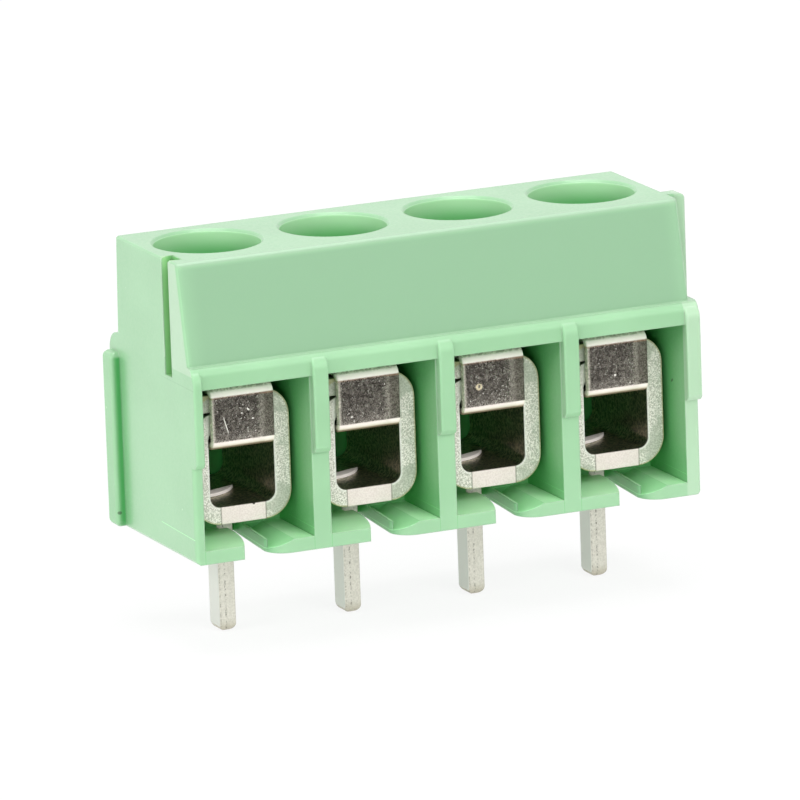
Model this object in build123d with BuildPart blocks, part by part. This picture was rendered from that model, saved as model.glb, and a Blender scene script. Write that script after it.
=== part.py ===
from build123d import *
import os

# Four-pole screw terminal block for a circuit board, with wire guards.
# Millimetres. X runs along the row, Y goes to the rear, Z is up.
# The origin is on the board face, in the middle of the row of solder pins.

# Row of poles
poles = 4
pitch = 5.08
partition_wall = 0.70
left_wall = 0.36
right_wall = 0.58

# Housing, lower body
front_y = -3.81
rear_y = 3.78
rear_step_round = 0.72
floor_t = 0.50
seat_front_y = -0.62
cell_head_gap = 0.34
corner_round = 0.16
end_foot_chamfer = 0.15

# Housing, lintel over the wire openings
lintel_h = 0.85
lintel_proud = 0.16
lintel_round = 0.38

# Housing, ribs on the wall fronts
rib_w = 0.62
rib_proud = 0.35
rib_foot_z = 3.68
rib_top_drop = 0.10
rib_top_round = 0.52
rib_foot_chamfer = 0.20
rib_side_round = 0.08

# Housing, upper block with the screwdriver holes
housing_h = 11.19
block_front_top_y = -2.92
block_front_foot_y = -3.70
block_rear_top_y = 2.80
block_rear_foot_y = 3.00
block_right_inset = 0.22
block_corner_round = 0.20
block_rear_round = 0.12
block_top_chamfer = 0.07
driver_hole_chamfer = 0.10

# Housing, slots for the solder pins and the detent fingers beside them
slot_front_x = 0.48
slot_rear_x = 0.74
slot_lead_front_w = 0.88
slot_lead_rear_w = 0.71
slot_lead_h = 0.34
slot_mouth_round = 0.82
finger_front_x = -0.63
finger_knee_x = -0.26
finger_knee_y = -2.75
finger_tip_x = -0.06
finger_tip_y = -1.62
pin_play = 0.05

# Housing, joint to the neighbour block: groove and tongue above, rail and rebate below
groove_y = -1.83
groove_mouth_w = 0.64
groove_root_w = 0.86
groove_depth = 0.50
groove_sink = 0.67
tongue_reach = 0.40
tongue_play = 0.05
rail_front_y = 2.83
rail_w = 0.88
rail_proud = 0.37
rail_foot_z = 0.06
rail_drop = 0.70
rail_round = 0.14
rail_end_round = 0.24
rebate_play = 0.05

# Clamp body: one strip, lapped twice over the top
strip_t = 0.64
cage_side_play = 0.24
cage_z = 1.05
cage_h = 4.92
cage_depth = 4.95
cage_corner_r = 1.05
lap_gap = 0.03
cage_rear_play = 0.10
thread_play = 0.05

# Solder pin, drawn out of the floor of the clamp body
pin_w = 0.66
pin_depth = 0.88
pin_below_board = 3.57
pin_tip_round = 0.30
lip_h = 0.12
lip_front_x = -0.60
lip_front_y = -0.70
lip_bow_x = 0.17
lip_bow_y = -0.38
lip_tip_x = 0.70
lip_tip_y = 0.26
lip_back_y = -0.58

# Clamp screw
screw_y = 0.11
screw_side_gap = 0.085
screw_head_d = 3.80
screw_head_play = 0.10
screw_head_h = 1.30
screw_shank = 4.10
screw_tip_chamfer = 0.35
screw_head_chamfer = 0.14
driver_slot_w = 0.70
driver_slot_depth = 0.75
driver_cross_len = 2.60
screw_rest_gap = 0.10

# Wire guard: thin leaf hooked over the top of the clamp body
leaf_t = 0.25
leaf_side_play = 0.06
leaf_play = 0.04
leaf_bend_r = 0.34
leaf_hook_gap = 0.12
leaf_rear_gap = 0.53
wire_way_h = 2.23

# Places worked out from the sizes
cell_w = pitch - partition_wall
first_x = -pitch * (poles - 1) / 2
pole_xs = [first_x + pitch * i for i in range(poles)]
left_x = pole_xs[0] - cell_w / 2 - left_wall
right_x = pole_xs[-1] + cell_w / 2 + right_wall
length = right_x - left_x
cage_w = cell_w - 2 * cage_side_play
cage_front_y = screw_y - cage_depth / 2
cage_rear_y = screw_y + cage_depth / 2
cage_floor_z = cage_z + strip_t
cage_top_z = cage_z + cage_h
cage_inner_w = cage_w - 2 * strip_t
cell_rear_y = cage_rear_y + cage_rear_play
cell_top_z = cage_top_z + leaf_play + leaf_t + cell_head_gap
step_z = cell_top_z + lintel_h
rib_top_z = step_z - rib_top_drop
groove_floor_z = step_z - groove_sink
rail_top_z = step_z - rail_drop
driver_hole_d = screw_head_d + 2 * screw_head_play
screw_d = cage_inner_w - 2 * screw_side_gap
thread_d = screw_d + 2 * thread_play
leaf_w = cage_inner_w - 2 * leaf_side_play
leaf_arm_z = cage_floor_z + wire_way_h
leaf_hook_end_y = screw_y - screw_d / 2 - leaf_hook_gap
leaf_arm_end_y = cage_rear_y - leaf_rear_gap
cut = 1.0


# Upper block with its leaning front
with BuildPart() as upper_block:
    with BuildSketch(Plane.YZ.offset(left_x)):
        with BuildLine():
            Polyline(
                (block_front_foot_y, step_z),
                (block_front_top_y, housing_h),
                (block_rear_top_y, housing_h),
                (block_rear_foot_y, step_z),
                close=True,
            )
        make_face()
    extrude(amount=length - block_right_inset)
    ends = upper_block.faces().filter_by(Axis.X)
    fillet([end.edges().sort_by(Axis.Y)[0] for end in ends], block_corner_round)
    ends = upper_block.faces().filter_by(Axis.X)
    fillet([end.edges().sort_by(Axis.Y)[-1] for end in ends], block_rear_round)
    chamfer(upper_block.faces().sort_by(Axis.Z)[-1].edges(), block_top_chamfer)

# Lintel over the wire openings, with a rounded top edge
lintel_y = front_y - lintel_proud
with BuildPart() as lintel:
    with BuildSketch(Plane.YZ.offset(left_x)):
        with BuildLine():
            Polyline(
                (lintel_y + lintel_round, step_z),
                (front_y + cut, step_z),
                (front_y + cut, cell_top_z),
                (lintel_y, cell_top_z),
                (lintel_y, step_z - lintel_round),
            )
            RadiusArc(
                (lintel_y, step_z - lintel_round),
                (lintel_y + lintel_round, step_z),
                lintel_round,
            )
        make_face()
    extrude(amount=length)

# Ribs down the fronts of the walls
rib_y = front_y - rib_proud
rib_spans = [(left_x, left_x + left_wall)]
rib_spans += [(x + (pitch - rib_w) / 2, x + (pitch + rib_w) / 2) for x in pole_xs[:-1]]
rib_spans += [(right_x - right_wall, right_x)]
with BuildPart() as ribs:
    for low_x, high_x in rib_spans:
        with BuildSketch(Plane.YZ.offset(low_x)):
            with BuildLine():
                Polyline(
                    (rib_y + rib_top_round, rib_top_z),
                    (front_y + cut, rib_top_z),
                    (front_y + cut, rib_foot_z),
                    (rib_y + rib_foot_chamfer, rib_foot_z),
                    (rib_y, rib_foot_z + rib_foot_chamfer),
                    (rib_y, rib_top_z - rib_top_round),
                )
                RadiusArc(
                    (rib_y, rib_top_z - rib_top_round),
                    (rib_y + rib_top_round, rib_top_z),
                    rib_top_round,
                )
            make_face()
        extrude(amount=high_x - low_x)
    front_faces = ribs.faces().filter_by(Axis.Y).group_by(Axis.Y)[0]
    fillet(front_faces.edges().filter_by(Axis.Z), rib_side_round)

# Rail at the left end, for the neighbour block's rebate
with BuildPart() as rail:
    with BuildSketch(Plane.XY.offset(rail_foot_z)):
        with Locations((left_x - rail_proud, rail_front_y)):
            Rectangle(rail_proud + rail_w / 2, rail_w, align=Align.MIN)
    extrude(amount=rail_top_z - rail_foot_z)
    outer = rail.faces().sort_by(Axis.X)[0]
    fillet(outer.edges().filter_by(Axis.Z), rail_round)
    outer = rail.faces().sort_by(Axis.X)[0]
    fillet(outer.edges().filter_by(Axis.Y), rail_end_round)

# Tongue at the right end, for the neighbour block's groove
flare = (groove_root_w - groove_mouth_w) / 2 * tongue_reach / groove_depth
neck = groove_mouth_w / 2 - tongue_play
with BuildPart() as tongue:
    with BuildSketch(Plane.XY.offset(groove_floor_z + tongue_play)):
        with BuildLine():
            Polyline(
                (right_x - block_right_inset - neck, groove_y - neck),
                (right_x, groove_y - neck),
                (right_x + tongue_reach, groove_y - neck - flare),
                (right_x + tongue_reach, groove_y + neck + flare),
                (right_x, groove_y + neck),
                (right_x - block_right_inset - neck, groove_y + neck),
                close=True,
            )
        make_face()
    extrude(amount=housing_h - groove_floor_z - tongue_play)
    outer = tongue.faces().sort_by(Axis.X)[-1]
    fillet(outer.edges().filter_by(Axis.Y).sort_by(Axis.Z)[-1], tongue_reach / 2)

# Housing: the lower body takes the other forms, and then the cells are opened
with BuildPart() as housing:
    with BuildSketch(Plane.YZ.offset(left_x)):
        with BuildLine():
            Polyline((front_y, 0), (front_y, step_z), (rear_y - rear_step_round, step_z))
            RadiusArc(
                (rear_y - rear_step_round, step_z),
                (rear_y, step_z - rear_step_round),
                rear_step_round,
            )
            Polyline((rear_y, step_z - rear_step_round), (rear_y, 0), (front_y, 0))
        make_face()
    extrude(amount=length)
    chamfer(housing.faces().sort_by(Axis.Z)[0].edges().filter_by(Axis.Y), end_foot_chamfer)
    front_uprights = housing.edges().filter_by(Axis.Z).group_by(Axis.Y)[0]
    fillet(front_uprights, corner_round)
    for form in (upper_block, lintel, ribs, rail, tongue):
        add(form.part)

    # Groove at the left end, open at the top
    with BuildSketch(Plane.XY.offset(groove_floor_z)):
        with BuildLine():
            Polyline(
                (left_x - cut, groove_y - groove_mouth_w / 2),
                (left_x, groove_y - groove_mouth_w / 2),
                (left_x + groove_depth, groove_y - groove_root_w / 2),
                (left_x + groove_depth, groove_y + groove_root_w / 2),
                (left_x, groove_y + groove_mouth_w / 2),
                (left_x - cut, groove_y + groove_mouth_w / 2),
                close=True,
            )
        make_face()
    extrude(amount=housing_h + cut - groove_floor_z, mode=Mode.SUBTRACT)

    # Rebate at the right end for the neighbour's rail
    rebate_y = rail_front_y - rebate_play
    rebate_depth = rail_proud + rebate_play
    with BuildSketch(Plane.XY.offset(-cut)):
        with Locations((right_x - rebate_depth, rebate_y)):
            Rectangle(rebate_depth + cut, rear_y + cut - rebate_y, align=Align.MIN)
    extrude(amount=cut + rail_top_z + rebate_play, mode=Mode.SUBTRACT)

    # Cells, open to the front, with a raised seat for the clamp body at the rear
    for x in pole_xs:
        with BuildSketch(Plane.YZ.offset(x - cell_w / 2)):
            with BuildLine():
                Polyline(
                    (front_y - cut, floor_t),
                    (seat_front_y, floor_t),
                    (seat_front_y, cage_z),
                    (cell_rear_y, cage_z),
                    (cell_rear_y, cell_top_z),
                    (front_y - cut, cell_top_z),
                    close=True,
                )
            make_face()
        extrude(amount=cell_w, mode=Mode.SUBTRACT)

    # Screwdriver holes
    with BuildSketch(Plane.XY.offset(cell_top_z - cut)):
        with Locations(*[(x, screw_y) for x in pole_xs]):
            Circle(driver_hole_d / 2)
    extrude(amount=housing_h + cut - cell_top_z + cut, mode=Mode.SUBTRACT)
    rims = housing.faces().filter_by(Axis.Z).sort_by(Axis.Z)[-1].edges().filter_by(GeomType.CIRCLE)
    chamfer(rims, driver_hole_chamfer)

    # Pin slots, open to the front, narrowed by a detent finger in front of each pin
    pin_hole_left = -pin_w / 2 - pin_play
    pin_hole_rear = pin_depth / 2 + pin_play
    for x in pole_xs:
        slot_x = x + slot_front_x
        with BuildSketch(Plane.XY.offset(-cut)):
            with BuildLine():
                finger_front = (x + finger_front_x, front_y)
                finger_tip = (x + finger_tip_x, finger_tip_y)
                mouth = (slot_x + slot_mouth_round, front_y)
                ThreePointArc(finger_front, (x + finger_knee_x, finger_knee_y), finger_tip)
                Polyline(
                    finger_tip,
                    (x + finger_tip_x, seat_front_y),
                    (x + pin_hole_left, seat_front_y),
                    (x + pin_hole_left, pin_hole_rear),
                    (x + slot_rear_x, pin_hole_rear),
                    (slot_x, front_y + slot_mouth_round),
                )
                RadiusArc((slot_x, front_y + slot_mouth_round), mouth, -slot_mouth_round)
                Polyline(
                    mouth,
                    (slot_x + slot_mouth_round, front_y - cut),
                    (x + finger_front_x, front_y - cut),
                    finger_front,
                )
            make_face()
        extrude(amount=cut + floor_t + cut / 4, mode=Mode.SUBTRACT)
        with BuildSketch(Plane.XY.offset(floor_t - cut / 4)):
            with Locations((x + pin_hole_left, seat_front_y - cut / 4)):
                Rectangle(
                    -2 * pin_hole_left,
                    pin_hole_rear - seat_front_y + cut / 4,
                    align=Align.MIN,
                )
        extrude(amount=cage_z + cut / 4 - floor_t, mode=Mode.SUBTRACT)

        # Lead-in down to the slot, wider towards the pin
        lead_foot_z = floor_t - slot_lead_h
        lead_front = (front_y, slot_front_x, slot_lead_front_w)
        lead_rear = (seat_front_y, slot_rear_x, slot_lead_rear_w)
        for lead_y, lead_x, lead_w in (lead_front, lead_rear):
            with BuildSketch(Plane.XZ.offset(-lead_y)):
                with BuildLine():
                    Polyline(
                        (x + lead_x, lead_foot_z),
                        (x + lead_x + lead_w, floor_t),
                        (x + lead_x + lead_w, floor_t + cut / 4),
                        (x + lead_x, floor_t + cut / 4),
                        close=True,
                    )
                make_face()
        loft(mode=Mode.SUBTRACT)
housing.part.label = "housing"


# Clamp bodies
clamp_bodies = []
side = cage_w / 2
inner = cage_inner_w / 2
inner_r = cage_corner_r - strip_t
outer_lap_z = cage_top_z - strip_t
inner_lap_top_z = outer_lap_z - lap_gap
inner_lap_z = inner_lap_top_z - strip_t
for number, x in enumerate(pole_xs, start=1):
    with BuildPart() as clamp_body:
        with BuildSketch(Plane.XZ.offset(-cage_rear_y)):
            with BuildLine():
                outer_side = FilletPolyline(
                    (x + inner - inner_r, inner_lap_top_z),
                    (x - side, inner_lap_top_z),
                    (x - side, cage_z),
                    (x + side, cage_z),
                    (x + side, cage_top_z),
                    (x - side, cage_top_z),
                    radius=cage_corner_r,
                )
                inner_side = FilletPolyline(
                    (x + inner - inner_r, inner_lap_z),
                    (x - inner, inner_lap_z),
                    (x - inner, cage_floor_z),
                    (x + inner, cage_floor_z),
                    (x + inner, outer_lap_z),
                    (x - side, outer_lap_z),
                    radius=inner_r,
                )
                Line(outer_side @ 0, inner_side @ 0)
                Line(outer_side @ 1, inner_side @ 1)
            make_face()
        extrude(amount=cage_depth)

        # Thread through both laps
        with BuildSketch(Plane.XY.offset(inner_lap_z - cut / 2)):
            with Locations((x, screw_y)):
                Circle(thread_d / 2)
        extrude(amount=cage_top_z - inner_lap_z + cut, mode=Mode.SUBTRACT)

        # Bowed lip on the floor, where the strip was drawn out for the pin
        with BuildSketch(Plane.XY.offset(cage_floor_z - strip_t / 2)):
            with BuildLine():
                lip_front = (x + lip_front_x, lip_front_y)
                lip_tip = (x + lip_tip_x, lip_tip_y)
                ThreePointArc(lip_front, (x + lip_bow_x, lip_bow_y), lip_tip)
                Polyline(
                    lip_tip,
                    (x - inner - strip_t / 2, lip_back_y),
                    (x - inner - strip_t / 2, lip_front_y),
                    lip_front,
                )
            make_face()
        extrude(amount=strip_t / 2 + lip_h)

        # Solder pin
        with BuildSketch(Plane.XY.offset(-pin_below_board)):
            with Locations((x, 0)):
                Rectangle(pin_w, pin_depth)
        extrude(amount=pin_below_board + cage_z + strip_t / 2)
        fillet(clamp_body.faces().sort_by(Axis.Z)[0].edges(), pin_tip_round)
    clamp_body.part.label = f"clamp_body_{number}"
    clamp_bodies.append(clamp_body)


# Wire guards
wire_guards = []
leaf_mid = leaf_t / 2
leaf_top_z = cage_top_z + leaf_play + leaf_mid
leaf_front_y = cage_front_y - leaf_play - leaf_mid
for number, x in enumerate(pole_xs, start=1):
    with BuildPart() as wire_guard:
        with BuildSketch(Plane.YZ.offset(x - leaf_w / 2)):
            with BuildLine():
                FilletPolyline(
                    (leaf_hook_end_y, leaf_top_z),
                    (leaf_front_y, leaf_top_z),
                    (leaf_front_y, leaf_arm_z + leaf_mid),
                    (leaf_arm_end_y, leaf_arm_z + leaf_mid),
                    radius=leaf_bend_r - leaf_mid,
                )
            trace(line_width=leaf_t)
        extrude(amount=leaf_w)
    wire_guard.part.label = f"wire_guard_{number}"
    wire_guards.append(wire_guard)


# Clamp screws, wound up until the tips just clear the wire guards
clamp_screws = []
screw_tip_z = leaf_arm_z + leaf_t + screw_rest_gap
screw_neck_z = screw_tip_z + screw_shank
screw_top_z = screw_neck_z + screw_head_h
for number, x in enumerate(pole_xs, start=1):
    with BuildPart() as clamp_screw:
        with BuildSketch(Plane.XY.offset(screw_tip_z)):
            with Locations((x, screw_y)):
                Circle(screw_d / 2)
        extrude(amount=screw_shank)
        chamfer(clamp_screw.faces().sort_by(Axis.Z)[0].edges(), screw_tip_chamfer)
        with BuildSketch(Plane.XY.offset(screw_neck_z)):
            with Locations((x, screw_y)):
                Circle(screw_head_d / 2)
        extrude(amount=screw_head_h)
        chamfer(clamp_screw.faces().sort_by(Axis.Z)[-1].edges(), screw_head_chamfer)
        with BuildSketch(Plane.XY.offset(screw_top_z - driver_slot_depth)):
            with Locations((x, screw_y)):
                Rectangle(screw_head_d + cut, driver_slot_w)
                Rectangle(driver_slot_w, driver_cross_len)
        extrude(amount=driver_slot_depth + cut, mode=Mode.SUBTRACT)
    clamp_screw.part.label = f"clamp_screw_{number}"
    clamp_screws.append(clamp_screw)


# Files
os.makedirs("parts", exist_ok=True)
export_step(housing.part, "parts/housing.step")
for group in (clamp_bodies, wire_guards, clamp_screws):
    for piece in group:
        export_step(piece.part, f"parts/{piece.part.label}.step")
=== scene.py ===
import math

import bmesh
import bpy
from mathutils import Matrix, Vector


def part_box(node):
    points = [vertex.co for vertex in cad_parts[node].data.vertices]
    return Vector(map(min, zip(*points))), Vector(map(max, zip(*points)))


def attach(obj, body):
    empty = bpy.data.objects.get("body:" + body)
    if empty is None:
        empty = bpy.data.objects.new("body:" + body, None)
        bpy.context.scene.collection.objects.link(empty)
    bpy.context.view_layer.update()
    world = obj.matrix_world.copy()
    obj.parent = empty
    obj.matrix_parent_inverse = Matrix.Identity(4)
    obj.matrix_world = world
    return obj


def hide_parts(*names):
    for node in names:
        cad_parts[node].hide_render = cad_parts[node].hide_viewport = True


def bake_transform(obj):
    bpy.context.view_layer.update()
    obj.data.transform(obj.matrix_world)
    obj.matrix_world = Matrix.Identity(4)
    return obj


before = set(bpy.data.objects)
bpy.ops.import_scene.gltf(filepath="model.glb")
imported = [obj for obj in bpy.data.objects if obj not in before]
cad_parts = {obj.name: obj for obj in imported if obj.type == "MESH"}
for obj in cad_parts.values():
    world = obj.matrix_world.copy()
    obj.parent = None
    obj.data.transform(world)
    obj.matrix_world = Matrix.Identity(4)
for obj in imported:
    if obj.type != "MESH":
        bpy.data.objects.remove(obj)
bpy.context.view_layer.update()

# All sizes are in metres. X runs along the row, Y to the rear and Z up from the board's face
MM = 0.001
# How far a mark of the finish reaches past the face it belongs to
HAIR = 0.01 * MM

# Row of poles
POLES = 4
PITCH = 5.08 * MM
POLE_X = [(i - (POLES - 1) / 2) * PITCH for i in range(POLES)]

# Housing: outer faces
BLOCK_LOW, BLOCK_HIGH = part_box("housing")
FRONT_Y = -3.81 * MM
STEP_Z = 7.45 * MM
UPPER_FOOT_Y = -3.70 * MM
UPPER_TOP_Y = -2.92 * MM
LEAN = (UPPER_TOP_Y - UPPER_FOOT_Y) / (BLOCK_HIGH.z - STEP_Z)
TOP_EDGE = 0.08 * MM
RIB_W = 0.62 * MM

# Housing: rail and groove at the left end, tongue at the right end
RAIL_PROUD = 0.37 * MM
RAIL_Y = 2.83 * MM
RAIL_TOP_Z = 6.75 * MM
LEFT_X = BLOCK_LOW.x + RAIL_PROUD
RIGHT_X = 10.39 * MM
GROOVE_Y = -1.83 * MM
GROOVE_FOOT_Z = 6.78 * MM
GROOVE_ROOT_W = 0.86 * MM
GROOVE_DEPTH = 0.50 * MM

# Housing: cells with their floor and pin slot, and the screwdriver holes
CELL_W = 4.38 * MM
CELL_REAR_Y = 2.69 * MM
CELL_TOP_Z = 6.60 * MM
FLOOR_T = 0.50 * MM
FLOOR_SEEN_Y = -0.50 * MM
SEAT_FRONT_Y = -0.62 * MM
SLOT_FRONT_X = 0.48 * MM
SLOT_REAR_X = 0.74 * MM
LEAD_FRONT_W = 0.88 * MM
LEAD_REAR_W = 0.71 * MM
LEAD_H = 0.34 * MM
HOLE_R = 2.0 * MM

# Clamp body and solder pin
CAGE_LOW, CAGE_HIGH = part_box("clamp_body_1")
CAGE_FRONT_Y = CAGE_LOW.y
CAGE_W = CAGE_HIGH.x - CAGE_LOW.x
CAGE_FLOOR_Z = 1.05 * MM
CAGE_BEND_R = 1.05 * MM
STRIP_T = 0.64 * MM
FLOOR_TOP_Z = CAGE_FLOOR_Z + STRIP_T
FLAT_HALF_W = CAGE_W / 2 - CAGE_BEND_R
LIP_H = 0.12 * MM
PIN_TIP_Z = CAGE_LOW.z
PIN_W = 0.66 * MM

# Wire guard: hook, front and arm of one thin leaf
LEAF_LOW, LEAF_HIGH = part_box("wire_guard_1")
LEAF_HALF_W = (LEAF_HIGH.x - LEAF_LOW.x) / 2
LEAF_T = 0.25 * MM
LEAF_TOP_R = 0.42 * MM
LEAF_FOOT_R = 0.34 * MM
LEAF_EDGE = 0.05 * MM
HOOK_GAP = 0.12 * MM
BEND_STEPS = 8
FRONT_STEPS = 4
ARM_STEPS = 20

# Clamp screw
SCREW_LOW, SCREW_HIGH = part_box("clamp_screw_1")
SCREW_Y = 0.11 * MM
SCREW_R = 1.225 * MM
SCREW_SIDES = 48
SCREW_ROWS = 72
THREAD_PITCH = 0.45 * MM
THREAD_DEPTH = 0.24 * MM
FLANK_SLOPE = 2.6
CREST_SHARE = 0.15
TIP_CHAMFER = 0.35 * MM
HEAD_H = 1.30 * MM
HEAD_CHAMFER = 0.14 * MM
DRIVER_SLOT_W = 0.70 * MM
DRIVER_SLOT_DEPTH = 0.75 * MM
DRIVER_CROSS_LEN = 2.60 * MM


def colour(red, green, blue):
    """A colour given as it looks, 0 to 255, in the linear values that shaders use."""
    linear = []
    for part in (red, green, blue):
        share = part / 255
        linear.append(share / 12.92 if share <= 0.04045 else ((share + 0.055) / 1.055) ** 2.4)
    return (*linear, 1.0)


# Greens of the moulding, among them painted light and painted shade for the hollows, faces and edges
GREEN = colour(140, 184, 143)
GREEN_PALE = colour(145, 189, 148)
GREEN_SPECK = colour(214, 236, 214)
FLOOR_PAINTED_LIGHT = colour(196, 252, 198)
SLOT_PAINTED_SHADE = colour(128, 186, 136)
LEAD_PAINTED_LIGHT = colour(164, 230, 170)
CELL_PAINTED_SHADE = colour(66, 172, 80)
STREAK_GREEN = colour(170, 200, 160)
HOLE_PAINTED_SHADE = colour(86, 174, 96)
HOLE_RIM_PAINTED_LIGHT = colour(166, 213, 166)
RAIL_CORNER_PAINTED_SHADE = colour(70, 158, 84)
GROOVE_MOUTH_PAINTED_LIGHT = colour(160, 208, 150)
GROOVE_ROOT_PAINTED_SHADE = colour(112, 176, 108)
FRONT_PAINTED_SHADE = colour(126, 165, 130)
BROW_PAINTED_SHADE = colour(146, 176, 148)
THIN_PAINTED_LIGHT = colour(184, 205, 182)
PARTING_GREEN = colour(110, 150, 112)
DARK_SPECK = colour(46, 70, 40)
EDGE_PAINTED_HIGHLIGHT = colour(182, 202, 180)
END_EDGE_PAINTED_HIGHLIGHT = colour(216, 232, 214)

# Greys and creams of the tinned strip
SHEAR_GREY = colour(190, 188, 175)
SHEAR_WHITE = colour(248, 244, 236)
SHEAR_DULL = colour(170, 178, 160)
SHEAR_PIT = colour(84, 86, 72)
SHEAR_YELLOW = colour(176, 168, 96)
SHEAR_RIM_HIGHLIGHT = colour(244, 244, 236)
TIN_DARK = colour(196, 190, 174)
TIN_PALE = colour(216, 210, 196)
SHADE_AND_STAIN_DARK = colour(108, 108, 80)
SHADE_AND_STAIN_PALE = colour(204, 194, 164)
WARM_DARK = colour(234, 220, 214)
WARM_PALE = colour(246, 234, 229)
CREASE_DARK = colour(92, 86, 66)
PIN_DARK = colour(204, 200, 189)
PIN_PALE = colour(223, 219, 209)
PIN_TIP = colour(168, 160, 134)
PIN_BURR = colour(84, 78, 62)
PIN_FLANK = colour(212, 213, 206)
LIP_CREAM = colour(252, 244, 238)
NOTCH_DARK = colour(40, 36, 24)

# Shades of the plated leaf, with painted highlights on its bends and left rim and painted shade on its right
# rim
LEAF_GREY = colour(140, 132, 121)
LEAF_PALE = colour(232, 224, 212)
LEAF_MARK = colour(250, 246, 238)
LEAF_CREAM = colour(240, 222, 186)
LEAF_RIM_HIGHLIGHT = colour(214, 206, 194)
LEAF_SHADE_DARK = colour(58, 52, 47)
LEAF_SHADE_DUSK = colour(118, 112, 103)
BEND_HIGHLIGHT_CREAM = colour(250, 238, 231)
BEND_GLINT = colour(255, 246, 240)
BEND_SPECKLE = colour(146, 142, 128)
BEND_BROWN = colour(176, 134, 106)
FOOT_TAN = colour(224, 206, 182)
FOOT_BROWN = colour(132, 104, 66)

# Greys of the zinc on the screws
ZINC_DARK = colour(168, 168, 164)
ZINC_PALE = colour(206, 206, 202)


# Scene helpers
def deselect_all():
    if bpy.context.object and bpy.context.object.mode != "OBJECT":
        bpy.ops.object.mode_set(mode="OBJECT")
    bpy.ops.object.select_all(action="DESELECT")


def choose(obj):
    """Makes the object the only selected one."""
    deselect_all()
    obj.select_set(True)
    bpy.context.view_layer.objects.active = obj


def edit_piece(obj):
    choose(obj)
    bpy.ops.object.mode_set(mode="EDIT")
    bpy.ops.mesh.select_all(action="DESELECT")


def pick_edges(obj, wanted):
    """Selects the edges of the edited mesh whose middle passes the test."""
    mesh = bmesh.from_edit_mesh(obj.data)
    bpy.context.tool_settings.mesh_select_mode = (False, True, False)
    for edge in mesh.edges:
        middle = sum((v.co for v in edge.verts), Vector()) / len(edge.verts)
        edge.select_set(wanted(middle))
    mesh.select_flush_mode()
    bmesh.update_edit_mesh(obj.data)


def extrude(step):
    bpy.ops.mesh.extrude_region_move(TRANSFORM_OT_translate={"value": step})


def settle(obj):
    """Puts the object's place, turn and size into its mesh."""
    choose(obj)
    bpy.ops.object.transform_apply(location=True, rotation=True, scale=True)


def round_corners(obj, name, width, angle):
    """Bevels the edges that turn by more than the angle, in degrees."""
    bevel = obj.modifiers.new(name, "BEVEL")
    bevel.width = width
    bevel.segments = 3
    bevel.limit_method = "ANGLE"
    bevel.angle_limit = math.radians(angle)


def apply_all(obj):
    choose(obj)
    for modifier in list(obj.modifiers):
        bpy.ops.object.modifier_apply(modifier=modifier.name)


def copy_along(obj, name, step):
    twin = obj.copy()
    twin.data = obj.data.copy()
    twin.name = name
    twin.data.name = name
    twin.data.transform(Matrix.Translation((step, 0, 0)))
    bpy.context.scene.collection.objects.link(twin)
    return twin


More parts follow.
